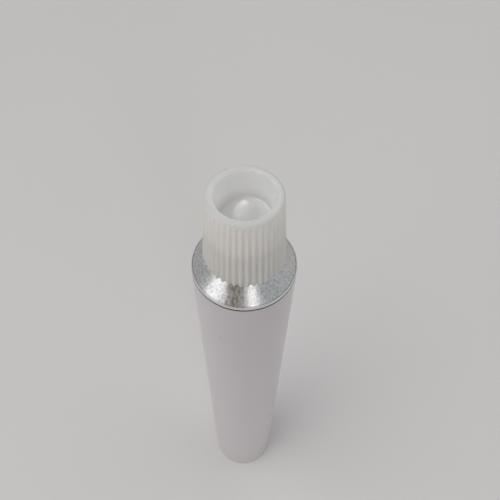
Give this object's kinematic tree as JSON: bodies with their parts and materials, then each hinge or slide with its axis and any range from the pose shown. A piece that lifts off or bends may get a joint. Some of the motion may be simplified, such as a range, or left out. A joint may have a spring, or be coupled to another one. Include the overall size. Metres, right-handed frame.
{
  "type": "collapsible aluminium tube",
  "caption": "Empty collapsible aluminium tube with a white lacquered body, bare cone shoulder and a white ribbed screw cap that carries a piercing spike.",
  "frame": {"origin": "on the tube's axis, at the plane of the open foot that it stands on", "axes": "+Z along the tube towards its cap; the picture looks along +Y and down"},
  "size_m": [0.022, 0.022, 0.1587],
  "materials": {
    "lacquered_aluminium": "satin white lacquer on the round body, bare turned metal on the shoulder and the neck",
    "white_plastic": "fine satin, as moulded"
  },
  "bodies": {
    "tube": {"collapsible_tube": "lacquered_aluminium"},
    "cap": {"piercing_cap": "white_plastic"}
  },
  "joints": [
    {"name": "cap_lift", "type": "slide", "parent": "tube", "child": "cap", "axis": [0, 0, 1], "range_m": [0, 0.02]}
  ]
}
